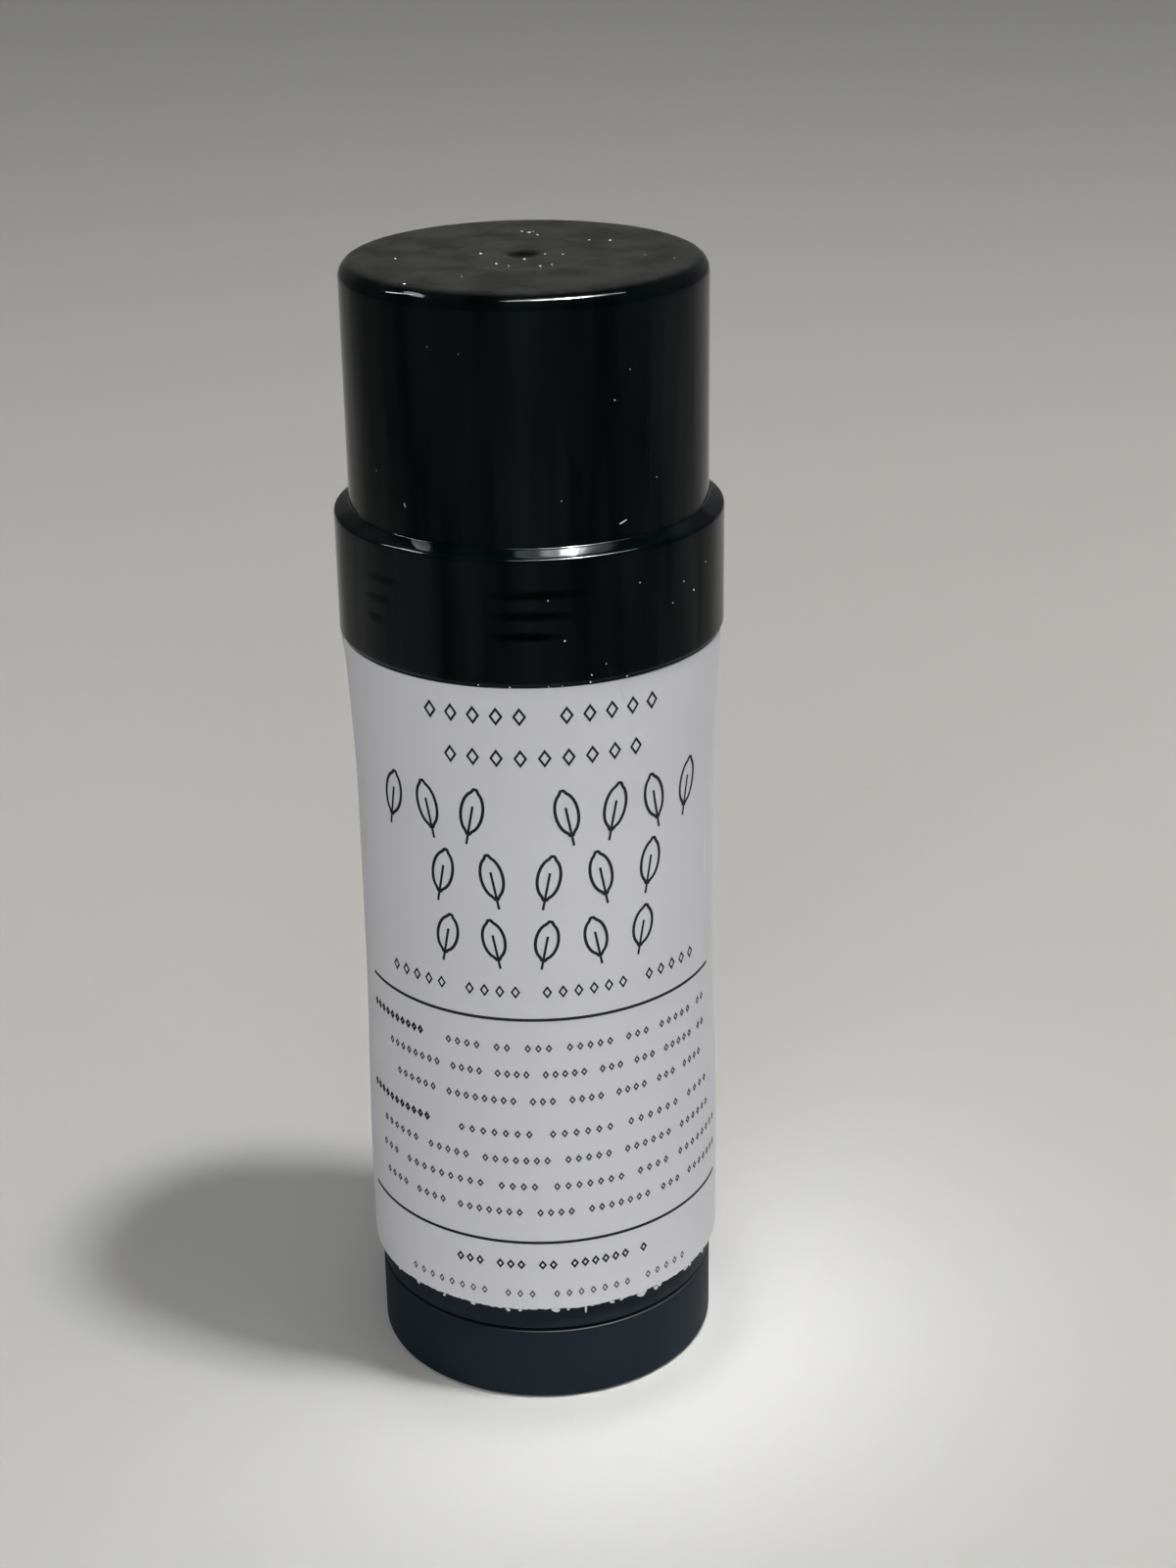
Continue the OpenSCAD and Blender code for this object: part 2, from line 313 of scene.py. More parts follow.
def sinkMarksAndShade(material):
    # Flat ellipses, one over the other, where the wall sank over the thread inside. The same mask dents the
    # wall by bump, and it darkens the colour and dims the specular there as painted shade
    drift, taper = capFinish["sinkDrift"], capFinish["sinkTaper"]
    parts = objectParts(material)
    turned = addMath(material, "MULTIPLY", parts["Y"], -1.0)
    unrolled = addNode(material, "ShaderNodeCombineXYZ")
    join(material, addMath(material, "ARCTAN2", parts["X"], turned), unrolled.inputs["X"])
    join(material, parts["Z"], unrolled.inputs["Y"])
    marks = None
    for angle, reach, strength in capFinish["sinkPatches"]:
        for row, (height, share) in enumerate(capFinish["sinkRows"]):
            offset = addNode(material, "ShaderNodeVectorMath", operation="SUBTRACT")
            offset.inputs[1].default_value = (math.radians(angle - drift * row), mm(height), 0)
            scaled = addNode(material, "ShaderNodeVectorMath", operation="DIVIDE")
            size = (math.radians(reach - taper * row), mm(capFinish["sinkHeight"]), 1)
            scaled.inputs[1].default_value = size
            length = addNode(material, "ShaderNodeVectorMath", operation="LENGTH")
            join(material, unrolled.outputs["Vector"], offset.inputs[0])
            join(material, offset.outputs["Vector"], scaled.inputs[0])
            join(material, scaled.outputs["Vector"], length.inputs[0])
            mark = spread(material, length.outputs["Value"], *capFinish["sinkEdge"], 0, strength * share)
            marks = mark if marks is None else addMath(material, "MAXIMUM", marks, mark)
    return marks


def topSheenAndFilm(material):
    # Mask of the top face: a painted sheen in the colour, and a dull film in the roughness
    top = capHigh.z
    return spread(material, objectParts(material)["Z"], mm(top - capFinish["sheenFilmFrom"]),
                  mm(top - capFinish["sheenFilmFull"]), 0, 1)


def capPlastic():
    low, high = capFinish["roughness"]
    material, shader = startMaterial("capPlastic", capFinish["colour"], high)
    sheenAndFilm, marks = topSheenAndFilm(material), sinkMarksAndShade(material)
    flow = noiseAt(material, *capFinish["flow"])
    flow = spread(material, flow, *capFinish["flowRange"], 0, 1)
    colour = blendColours(material, flow, capFinish["colour"], capFinish["flowColour"])
    # painted shade: the sink marks are darkened, standing in for their darker reflection
    colour = blendColours(material, marks, colour, capFinish["sinkShadeColour"])
    shine = spread(material, flow, 0, 1, *capFinish["specular"])
    shine = addMath(material, "MULTIPLY", shine, spread(material, marks, 0, 1, 1, capFinish["sinkShine"]))
    join(material, shine, shader.inputs["Specular IOR Level"])
    grain = noiseAt(material, *capFinish["sheenFilmGrain"])
    grain = spread(material, grain, *capFinish["sheenFilmRange"])
    sheenAndFilm = addMath(material, "MULTIPLY", sheenAndFilm, grain)
    # painted sheen: the lighter top face stands in for its reflection
    colour = blendColours(material, sheenAndFilm, colour, capFinish["paintedSheenColour"])
    join(material, colour, shader.inputs["Base Color"])
    smudge = noiseAt(material, *capFinish["smudge"])
    smudge = spread(material, smudge, *capFinish["smudgeRange"], low, high)
    dull = addMath(material, "MULTIPLY", sheenAndFilm, capFinish["filmRoughness"])
    join(material, addMath(material, "ADD", smudge, dull), shader.inputs["Roughness"])
    waves = noiseAt(material, *capFinish["waves"])
    addBump(material, shader, waves, capFinish["waveStrength"], capFinish["waveDepth"])
    addBump(material, shader, marks, 1.0, -capFinish["sinkDepth"])
    return material


plainFinishes = {
    # colour, roughness, other inputs, and the scale, detail, strength and depth of the grain
    "barrelPlastic": ((0.0090, 0.0158, 0.0228), 0.5, {"Specular IOR Level": 0.06},
                      (2.5, 3.0, 0.25, 0.01)),
    "dialPlastic": ((0.0095, 0.0168, 0.0245), 0.52, {"Specular IOR Level": 0.04},
                    (3.0, 3.0, 0.3, 0.012)),
    "elevatorPlastic": ((0.02, 0.024, 0.03), 0.4, {}, (2.0, 3.0, 0.2, 0.02)),
    "labelPaper": ((0.71, 0.71, 0.755), 0.42, {}, (1.6, 5.0, 0.25, 0.03)),
    "printInk": ((0.007, 0.007, 0.010), 0.5, {"Specular IOR Level": 0.1}, None),
    "faintInk": ((0.065, 0.065, 0.078), 0.5, {"Specular IOR Level": 0.1}, None),
    "castButter": ((0.86, 0.76, 0.50), 0.45,
                   {"Specular IOR Level": 0.25, "Subsurface Weight": 0.1, "Subsurface Scale": 0.002},
                   (0.5, 4.0, 0.4, 0.12)),
    "dustLint": ((0.52, 0.52, 0.49), 0.9, {}, None),
    "floorPaint": ((0.72, 0.715, 0.69), 0.8, {"Specular IOR Level": 0}, None),
}


def plainMaterial(name):
    colour, roughness, others, grain = plainFinishes[name]
    material, shader = startMaterial(name, colour, roughness)
    for socket, value in others.items():
        shader.inputs[socket].default_value = value
    if grain:
        scale, detail, strength, depth = grain
        addBump(material, shader, noiseAt(material, scale, detail=detail), strength, depth)
    return material


# Screw cap

cap = {
    "crownRadius": 17.45,
    "ledgeHeight": 92.95,
    "ledgeFall": 0.7,
    "ledgeRounding": 0.5,
    "ledgeFillet": 0.25,
    "edgeRounding": 1.6,
    "lipRounding": 0.5,
    "neckBore": 17.7,
    "crownBore": 16.2,
    "step": 91.7,
    "mouthChamfer": 0.2,
    "topThickness": 1.4,
    "discRadius": 6.7,
    "discDepth": 0.04,
    "discBevel": 0.4,
    "dimpleRadius": 1.75,
    "dimpleDepth": 0.4,
    "dimpleLip": 0.008,
    "pole": 0.3,  # radius of the last ring before the axis
    "hold": 0.2,  # distance of the rings that keep a flat next to a rounding flat
    "threadCrest": 17.4,
    "threadFoot": 82.6,
    "threadTurns": 3.5,
}


def makeCap(material):
    skirt, lip, top = capHigh.x, capLow.z, capHigh.z
    crown, ledge = cap["crownRadius"], cap["ledgeHeight"]
    slope = cap["ledgeFall"] / (skirt - crown)
    fall = math.degrees(math.atan(slope))
    lean = math.sqrt(1 + slope * slope)
    edge, fillet = skirt - cap["ledgeRounding"], cap["ledgeFillet"]
    edgeZ = ledge - (edge - crown) * slope - cap["ledgeRounding"] * lean
    disc, dimple = cap["discRadius"], cap["dimpleRadius"]
    discZ = top - cap["discDepth"]
    rounding, soft = cap["edgeRounding"], cap["lipRounding"]
    hold, mouth = cap["hold"], cap["mouthChamfer"]
    outline = [(cap["pole"], discZ - cap["dimpleDepth"])]
    for k in (0.3, 0.5, 0.7, 0.85, 0.95):
        outline.append((dimple * k, discZ - cap["dimpleDepth"] * (1 - k ** 2.5)))
    outline += [(dimple + hold, discZ + cap["dimpleLip"]), (dimple + 3 * hold, discZ)]
    outline += [(disc - 1.5 * hold, discZ), (disc, discZ)]
    bevel = disc + cap["discBevel"]
    outline += [(bevel, top), (bevel + 1.5 * hold, top), (crown - rounding - hold, top)]
    outline += arcPoints(crown - rounding, top - rounding, rounding, 90, 0, 14)
    outline += [(crown, top - rounding - 1.5 * hold), (crown, ledge + 3 * hold)]
    outline += arcPoints(crown + fillet, ledge + fillet * (lean - slope), fillet, 180, 270 - fall, 6)
    outline += [(r, ledge - (r - crown) * slope) for r in (crown + fillet, edge)]
    outline += arcPoints(edge, edgeZ, cap["ledgeRounding"], 90 - fall, 0, 8)
    outline += [(skirt, edgeZ - hold), (skirt, lip + soft + hold)]
    outline += arcPoints(skirt - soft, lip + soft, soft, 0, -90, 6)
    outline += [(cap["neckBore"] + mouth, lip), (cap["neckBore"], lip + mouth)]
    outline += [(cap["neckBore"], cap["step"]), (cap["crownBore"], cap["step"])]
    outline += [(r, top - cap["topThickness"]) for r in (cap["crownBore"], cap["pole"])]
    shell = turnPiece("capShell", outline, 240)
    ridge = threadRidge("capThread", cap["neckBore"], cap["threadCrest"], cap["threadFoot"],
                        cap["threadTurns"])
    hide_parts("screw_cap")
    for piece in (shell, ridge):
        finishPiece(piece, material, "cap")


# Dust and lint on the cap

dust = {
    # across, away and size of the specks on its top
    "onTop": [(6.3, 5.6, 0.26), (8.3, 5.4, 0.3), (-11.9, -1.2, 0.26), (-10.7, -12.0, 0.3), (-4.0, 0.4, 0.3),
              (-2.5, -4.2, 0.26), (0.1, -2.4, 0.26), (1.5, -5.5, 0.24), (2.0, -0.3, 0.2), (-0.1, 10.4, 0.3),
              (0.6, 9.8, 0.4), (1.4, 8.6, 0.3), (1.0, 10.2, 0.22), (3.7, -0.5, 0.18), (11.3, -1.6, 0.2),
              (14.0, -3.3, 0.18), (-5.6, -9.4, 0.2), (-1.4, -5.2, 0.16), (2.6, -5.0, 0.16)],
    # angle, height and size of those on its skirt and its crown
    "onSkirt": [(4.5, 88.4, 0.2), (9.0, 84.4, 0.26), (31.9, 89.0, 0.2), (48.9, 87.8, 0.2),
                (53.8, 86.5, 0.28), (44.1, 86.1, 0.18), (60.8, 88.6, 0.18), (16.6, 80.8, 0.2),
                (21.0, 81.7, 0.16), (-15.7, 80.1, 0.2), (-6.7, 80.0, 0.24), (4.2, 80.0, 0.2),
                (8.0, 80.0, 0.16), (16.2, 80.1, 0.26), (27.4, 80.1, 0.22)],
    "onCrown": [(26.9, 106.1, 0.2), (32.2, 108.7, 0.14), (-30.2, 111.2, 0.13), (-20.1, 110.8, 0.13),
                (9.6, 97.3, 0.16), (42.3, 98.1, 0.14), (-53.7, 98.5, 0.16)],
    # angle, height, length and lean of the hairs of lint
    "lint": [(29.4, 94.6, 0.9, 68), (-41.0, 96.0, 0.5, -20)],
    # how much of its size a speck keeps along each axis
    "topShape": (1.0, 0.7, 0.35),
    "wallShape": (0.6, 0.6, 0.8),
    "lintShape": (0.1, 0.1, 1.0),
    "sunk": 0.02,
}


def addSpeck(place, size, shape, turn=(0, 0, 0)):
    clearSelection()
    bpy.ops.mesh.primitive_ico_sphere_add(subdivisions=2, radius=mm(size / 2), rotation=turn,
                                          location=tuple(mm(c) for c in place))
    bpy.context.object.scale = shape
    return bpy.context.object


def onWall(radius, angle, height):
    turn = math.radians(angle)
    return radius * math.sin(turn), -radius * math.cos(turn), height


def makeDust(material):
    sunk = dust["sunk"]
    specks = []
    for x, y, size in dust["onTop"]:
        specks.append(addSpeck((x, y, capHigh.z - sunk), size, dust["topShape"]))
    for rows, radius in ((dust["onSkirt"], capHigh.x), (dust["onCrown"], cap["crownRadius"])):
        for angle, height, size in rows:
            specks.append(addSpeck(onWall(radius - sunk, angle, height), size, dust["wallShape"]))
    for angle, height, length, lean in dust["lint"]:
        turn = (0, math.radians(lean), math.radians(angle))
        place = onWall(cap["crownRadius"], angle, height)
        specks.append(addSpeck(place, length, dust["lintShape"], turn))
    finishPiece(joinPieces("capDust", specks), material, "cap")


# Barrel, dial, elevator and bar

barrel = {
    "tube": 17.8,
    "band": 17.75,
    "bandTop": 12.0,
    "bore": 16.2,
    "neck": 17.0,
    "neckHeight": 11.4,
    "rimRounding": 0.3,
    "floor": 1.8,
    "floorHole": 4.58,
    "footChamfer": 0.2,
    "ribs": 4,
    "ribWidth": 1.2,
    "ribOut": 0.5,
    "ribSunk": 0.3,
    "ribDrop": 4.0,
    "threadCrest": 17.3,
    "threadFoot": 83.6,
    "threadTurns": 3.4,
}
dial = {
    "height": 8.2,
    "edgeRounding": 0.5,
    "rimRounding": 0.12,
    "wall": 1.6,
    "base": 2.0,
    "ring": 3.0,
    "recess": 0.6,
    "collar": 7.0,
    "journal": 4.5,
    "bead": 4.95,
    "beadFoot": 10.4,
    "beadTop": 11.6,
    "screwRoot": 2.3,
    "screwCrest": 3.2,
    "screwLead": 5.5,
    "screwFoot": 2.8,
    "screwTop": 1.2,
    "screwSteps": 48,
    "pole": 0.4,
    "mouldAngle": 32,
    "mouldWidth": 0.12,
    "mouldProud": 0.04,
}
bar = {
    "radius": 15.9,
    "cupTop": 20.4,
    "cupBore": 15.0,
    "edge": 90.9,
    "dome": 1.2,
    "edgeSoft": 0.5,
    "edgeMiddle": (0.15, 0.13),
    "hubBore": 6.05,
    "hubTop": 21.3,
    "screwBore": 3.6,
    "screwRoom": 0.4,
    "grooveMiddle": 16.9,
    "grooveDepth": 3,
    "grooveWidth": 1.8,
    "grooveSpare": 2,
    "pole": 0.3,
}


def blocksRound(count, middle, depth, width, low, high):
    # Upright blocks at even angles round the axis
    blocks = []
    for i in range(count):
        turn = 2 * math.pi * i / count
        clearSelection()
        bpy.ops.mesh.primitive_cube_add(size=1, rotation=(0, 0, turn), location=(
            mm(middle * math.cos(turn)), mm(middle * math.sin(turn)), mm((low + high) / 2)))
        bpy.context.object.scale = (mm(depth), mm(width), mm(high - low))
        blocks.append(bpy.context.object)
    return blocks


def makeBarrel(material):
    foot, top = barrelLow.z, barrelHigh.z
    shoulder = top - barrel["neckHeight"]
    soft, chamfer, sunk = barrel["rimRounding"], barrel["footChamfer"], barrel["ribSunk"]
    band, tube, bore, hole = barrel["band"], barrel["tube"], barrel["bore"], barrel["floorHole"]
    floor = foot + barrel["floor"]
    outline = [(hole, foot), (band - chamfer, foot), (band, foot + chamfer), (band, barrel["bandTop"]),
               (tube, barrel["bandTop"]), (tube, sheet["kink"]), (barrelHigh.x, shoulder),
               (barrel["neck"], shoulder)]
    outline += arcPoints(barrel["neck"] - soft, top - soft, soft, 0, 90, 4)
    outline += [(bore, top), (bore, floor), (hole, floor), (hole, foot)]
    body = turnPiece("barrelBody", outline, 240, tube=True)
    ribs = blocksRound(barrel["ribs"], bore - (barrel["ribOut"] - sunk) / 2, barrel["ribOut"] + sunk,
                       barrel["ribWidth"], floor - sunk, top - barrel["ribDrop"])
    body = joinPieces("barrelBody", [body] + ribs)
    ridge = threadRidge("neckThread", barrel["neck"], barrel["threadCrest"], barrel["threadFoot"],
                        barrel["threadTurns"])
    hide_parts("barrel")
    for piece in (body, ridge):
        finishPiece(piece, material, "barrel")


def makeDial(material):
    radius, height, barrelFoot = dialHigh.x, dial["height"], barrelLow.z
    soft, rim, pole = dial["edgeRounding"], dial["rimRounding"], dial["pole"]
    ringIn, wallIn = radius - dial["ring"], radius - dial["wall"]
    beadMiddle = (dial["beadFoot"] + dial["beadTop"]) / 2
    outline = [(pole, dial["recess"]), (ringIn, dial["recess"]), (ringIn, 0)]
    outline += arcPoints(radius - soft, soft, soft, -90, 0, 6)
    outline += arcPoints(radius - rim, height - rim, rim, 0, 90, 4)
    outline += [(wallIn, height), (wallIn, dial["base"]), (dial["collar"], dial["base"]),
                (dial["collar"], barrelFoot), (dial["journal"], barrelFoot),
                (dial["journal"], dial["beadFoot"]), (dial["bead"], dial["beadFoot"]),
                (dial["bead"], beadMiddle), (dial["screwRoot"], dial["beadTop"]),
                (dial["screwRoot"], dialHigh.z), (pole, dialHigh.z)]
    body = turnPiece("dialBody", outline, 240)
    turns = (dialHigh.z - dial["beadTop"] - dial["screwFoot"]) / dial["screwLead"]
    screwLow = dial["beadTop"] + dial["screwFoot"] / 2
    screw = threadRidge("feedScrew", dial["screwRoot"], dial["screwCrest"], screwLow, turns,
                        dial["screwLead"], dial["screwFoot"], dial["screwTop"], dial["screwSteps"])
    turn = math.radians(dial["mouldAngle"])
    clearSelection()
    bpy.ops.mesh.primitive_cube_add(size=1, rotation=(0, 0, turn), location=(
        mm(radius * math.sin(turn)), mm(-radius * math.cos(turn)), mm(height / 2)))
    line = bpy.context.object
    line.name = "dialMouldLine"
    line.scale = (mm(dial["mouldWidth"]), mm(2 * dial["mouldProud"]), mm(height - 2 * soft))
    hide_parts("twist_dial")
    for piece in (body, screw, line):
        finishPiece(piece, material, "dial", 30)


def makeBar(material):
    # The cast bar fills the cup, and the feed screw and the ribs run in its bore and grooves
    radius, edge, dome, soft = bar["radius"], bar["edge"], bar["dome"], bar["edgeSoft"]
    low, high = barLow.z, barHigh.z
    sphere = (radius * radius + dome * dome) / (2 * dome)
    boreTop = dialHigh.z + bar["screwRoom"]
    outline = [(bar["pole"], boreTop), (bar["screwBore"], boreTop), (bar["screwBore"], bar["hubTop"]),
               (bar["hubBore"], bar["hubTop"]), (bar["hubBore"], low), (bar["cupBore"], low),
               (bar["cupBore"], bar["cupTop"]), (radius, bar["cupTop"])]
    across, down = bar["edgeMiddle"]
    outline += [(radius, edge - soft), (radius - across, edge - down), (radius - soft, edge)]
    for k in (0.93, 0.8, 0.65, 0.5, 0.35, 0.2, 0.05):
        rise = dome - sphere + math.sqrt(sphere * sphere - (radius * k) ** 2)
        outline.append((radius * k, edge + rise))
    piece = turnPiece("butterBar", outline, 192)
    spare = bar["grooveSpare"]
    for groove in blocksRound(barrel["ribs"], bar["grooveMiddle"], bar["grooveDepth"],
                              bar["grooveWidth"], low - spare, high + spare):
        applyModifier(piece, "BOOLEAN", operation="DIFFERENCE", object=groove, solver="EXACT")
        bpy.data.objects.remove(groove)
    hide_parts("butter_bar")
    finishPiece(piece, material, "stick", 30)


def makeElevator(material):
    finishPiece(smoothCopy("elevator", "elevatorCup"), material, "stick", 30)


# Label: a flat sheet is modelled with its relief, then bent round the barrel

sheet = {
    "radius": 17.92,
    "thickness": 0.14,
    "overlap": 5.0,
    "hemOut": 0.45,
    "hemHeight": 9.0,
    "hemEase": 25.0,
    "kink": 65.7,
    "coneOut": 0.67,
    "ragged": 0.35,
    "raggedSize": 3.0,
    "fray": 0.3,
    "fraySize": 0.35,
    "ripple": 0.06,
    "rippleSize": 7.0,
    # place from the lapped edge, and how much further out the paper steps there
    "lapSteps": [(-1.2, 0.05), (-0.8, 0.06), (-0.4, 0.05)],
    "columns": 840,
    "rows": 34,
}
tornBits = [
    # angle, height, width, length and lean of the bits of paper that hang at the hem
    (-47.4, 11.2, 0.5, 0.3, 30), (-35.8, 11.15, 0.35, 0.25, -20), (-24.9, 11.2, 0.5, 0.25, 10),
    (-13.1, 11.15, 0.5, 0.3, 20), (-9.0, 11.2, 0.4, 0.25, -15), (2.4, 11.22, 0.9, 0.4, 10),
    (6.5, 11.25, 0.35, 0.25, 0), (12.2, 11.05, 0.22, 1.0, 4), (21.0, 11.25, 0.6, 0.3, 20),
    (24.6, 11.3, 0.5, 0.3, -30), (31.8, 11.05, 1.0, 0.55, 15), (33.0, 11.2, 0.8, 0.5, -25),
    (37.8, 11.05, 0.6, 0.5, 35), (39.4, 11.25, 0.5, 0.4, 10), (52.6, 11.2, 0.7, 0.4, -20),
    (55.0, 11.2, 0.5, 0.4, 30), (64.0, 11.2, 0.5, 0.4, 0), (-58, 11.2, 0.45, 0.3, 15),
    (84, 11.2, 0.6, 0.4, 20), (112, 11.1, 0.7, 0.5, -10), (149, 11.1, 0.5, 0.6, 20),
    (-122, 11.1, 0.8, 0.4, 5), (-95, 11.2, 0.4, 0.3, -30),
]
tornBit = {"corners": 9, "uneven": 0.14, "thickness": 0.1, "proud": 0.02}
creases = [
    # from and to angle, from and to height, how far the paper stands out there
    (68, 77, 47, 65.5, 0.10), (71, 74, 45, 66, 0.08), (-72, -64, 64.6, 66.2, -0.10),
    (-95, -78, 78.6, 80, 0.30), (-150, -138, 20, 60, 0.09), (118, 124, 30, 72, 0.08),
]


def alongSheet(angle):
    return math.radians(angle) * sheet["radius"]


def reliefAt(height):
    # How far the sheet stands off the straight tube at a height
    above = height - paperLow.z
    ease = min(max((above - sheet["hemHeight"]) / sheet["hemEase"], 0), 1)
    hem = sheet["hemOut"] * (1 - ease * ease * (3 - 2 * ease))
    coneHeight = barrelHigh.z - barrel["neckHeight"] - sheet["kink"]
    cone = sheet["coneOut"] * max(height - sheet["kink"], 0) / coneHeight
    return hem + cone


def bendRound(piece):
    # The same bend for the sheet and its print: a millimetre across stays a millimetre on the paper
    width = max(v.co.x for v in piece.data.vertices) - min(v.co.x for v in piece.data.vertices)
    applyModifier(piece, "SIMPLE_DEFORM", deform_method="BEND", deform_axis="Z",
                  angle=width / mm(sheet["radius"]))
    bpy.ops.object.mode_set(mode="EDIT")
    bpy.ops.mesh.select_all(action="SELECT")
    bpy.ops.transform.translate(value=(0, -mm(sheet["radius"]), 0))
    bpy.ops.object.mode_set(mode="OBJECT")


def pushPaper(paper, test, outwards):
    selectWhere(paper, test)
    bpy.ops.transform.translate(value=(0, -mm(outwards), 0))


def roughen(paper, name, size, strength, direction, group="", middle=0.5):
    grain = bpy.data.textures.new(name, "CLOUDS")
    grain.noise_scale = mm(size)
    grain.noise_depth = 3
    applyModifier(paper, "DISPLACE", texture=grain, texture_coords="LOCAL", vertex_group=group,
                  direction=direction, strength=mm(strength), mid_level=middle)


def makeTornBits():
    # Thin flakes with uneven rims, stuck to the hem
    flakes = []
    for number, (angle, height, width, length, lean) in enumerate(tornBits):
        clearSelection()
        bpy.ops.mesh.primitive_circle_add(vertices=tornBit["corners"], radius=0.5, fill_type="NGON",
                                          rotation=(math.pi / 2, 0, 0))
        flake = bpy.context.object
        flake.scale = (mm(width), mm(length), 1)
        flake.rotation_euler.y = math.radians(lean)
        bpy.ops.object.transform_apply(location=True, rotation=True, scale=True)
        bpy.ops.object.mode_set(mode="EDIT")
        bpy.ops.mesh.select_all(action="SELECT")
        uneven = mm(tornBit["uneven"] * min(width, length))
        bpy.ops.transform.vertex_random(offset=uneven, seed=number)
        inwards = (0, mm(tornBit["thickness"]), 0)
        bpy.ops.mesh.extrude_region_move(TRANSFORM_OT_translate={"value": inwards})
        bpy.ops.object.mode_set(mode="OBJECT")
        radius = sheet["radius"] + sheet["hemOut"] + tornBit["proud"]
        flake.location = tuple(mm(c) for c in onWall(radius, angle, height))
        flake.rotation_euler = (0, 0, math.radians(angle))
        cleanMesh(flake)
        flakes.append(flake)
    return joinPieces("hemBits", flakes)


def makeSheet():
    low, high = paperLow.z, paperHigh.z
    width = 2 * math.pi * sheet["radius"] + sheet["overlap"]
    rows = sheet["rows"]
    clearSelection()
    bpy.ops.mesh.primitive_grid_add(x_subdivisions=sheet["columns"], y_subdivisions=rows, size=1,
                                    rotation=(math.pi / 2, 0, 0))
    paper = bpy.context.object
    paper.name = "labelSheet"
    paper.scale = (mm(width), mm(high - low), 1)
    paper.location = (0, 0, mm((low + high) / 2))
    bpy.ops.object.transform_apply(location=True, rotation=True, scale=True)
    bpy.ops.object.mode_set(mode="EDIT")
    for row in range(rows + 1):
        z = low + (high - low) * row / rows
        if reliefAt(z) > 0.0005:
            pushPaper(paper, lambda p: abs(p.z - z) < touching, reliefAt(z))
    lap = width / 2 - sheet["overlap"]
    for start, rise in sheet["lapSteps"]:
        pushPaper(paper, lambda p: p.x > lap + start, rise)
    for fromAngle, toAngle, fromHeight, toHeight, out in creases:
        left, right = alongSheet(fromAngle), alongSheet(toAngle)
        pushPaper(paper, lambda p: left < p.x < right and fromHeight < p.z < toHeight, out)
    bpy.ops.object.mode_set(mode="OBJECT")
    hem = paper.vertex_groups.new(name="hem")
    hem.add([v.index for v in paper.data.vertices if v.co.z * 1000 < low + touching], 1.0, "REPLACE")
    roughen(paper, "hemWander", sheet["raggedSize"], sheet["ragged"], "Z", "hem", 0.6)
    roughen(paper, "hemFray", sheet["fraySize"], sheet["fray"], "Z", "hem", 0.55)
    roughen(paper, "paperWaves", sheet["rippleSize"], sheet["ripple"], "Y")
    applyModifier(paper, "SMOOTH", factor=0.5, iterations=3, use_x=False, use_y=True, use_z=False)
    applyModifier(paper, "SOLIDIFY", thickness=mm(sheet["thickness"]), offset=0)
    return paper


# Print: rows of simple marks, thin leaves and two rules in the places of the real print

lozengeRows = [
    # height, from, to, marks in each word, width, height and line of a mark
    (76.9, -34, 39, (5, 5), 1.3, 1.9, 0.22),
    (72.6, -28, 33.5, (9,), 1.3, 1.9, 0.22),
    (47.8, -54, 58, (5, 4, 6, 5), 0.95, 1.4, 0.18),
    (41.6, -69, -41, (10,), 0.78, 1.05, 0.24),
    (41.6, -32, 66, (4, 2, 3, 5, 3, 5, 2), 0.68, 0.95, 0.17),
    (38.7, -58, 66, (8, 4, 4, 5, 3, 3, 5, 2), 0.68, 0.95, 0.17),
    (35.7, -54, 63, (6, 8, 3, 4, 4, 3, 4), 0.68, 0.95, 0.17),
    (32.0, -71, -39, (11,), 0.78, 1.05, 0.24),
    (32.0, -28, 67, (7, 6, 6, 4), 0.68, 0.95, 0.17),
    (29.0, -63, 68, (6, 5, 7, 5, 6, 6), 0.68, 0.95, 0.17),
    (26.0, -64, 75, (3, 9, 4, 7, 4, 8), 0.68, 0.95, 0.17),
    (23.0, -62, 75, (4, 4, 7, 4, 7, 3, 7), 0.68, 0.95, 0.17),
    (16.8, -30, 34, (3, 3, 2, 6, 1), 0.85, 1.15, 0.2),
    (13.3, -49, 51, (8, 3, 7, 5), 0.62, 0.95, 0.13),
]
leafRows = [
    # height of the foot, from, to, leaves in each group, leaf height
    (63.3, -54, 58, (3, 4), 6.0),
    (56.7, -35, 41, (5,), 5.8),
    (50.3, -34, 38, (5,), 5.3),
]
ruleRows = [(44.75, -69, 70), (19.45, -73, 75)]
printStyle = {
    "line": 0.32,
    "columnsPerMm": 3,
    "proud": 0.012,
    "thickness": 0.02,
    "front": 4.0,
    # rows with marks lower than this are in the fainter ink
    "smallUnder": 1.0,
}
leafStyle = {
    "width": 2.5,
    "line": 0.31,
    "corners": 32,
    "lean": 11.0,
    # shares of the leaf's height, and then of the blade's
    "stalk": 0.17,
    "oval": 0.94,
    "tipZone": 0.04,
    "tipOut": 0.05,
    "vein": 0.62,
    # share of the outline's line
    "veinLine": 0.8,
}


def flatCard(x, z, width, height, columns):
    # A flat card in front of the sheet, facing the reader
    clearSelection()
    bpy.ops.mesh.primitive_grid_add(x_subdivisions=columns, y_subdivisions=1, size=1,
                                    rotation=(math.pi / 2, 0, 0),
                                    location=(mm(x), -mm(printStyle["front"]), mm(z)))
    card = bpy.context.object
    card.scale = (mm(width), mm(height), 1)
    bpy.ops.object.transform_apply(location=True, rotation=True, scale=True)
    return card


def repeatAlong(card, count, pitch):
    if count > 1:
        applyModifier(card, "ARRAY", count=count, use_relative_offset=False, use_constant_offset=True,
                      constant_offset_displace=(mm(pitch), 0, 0))
    return card


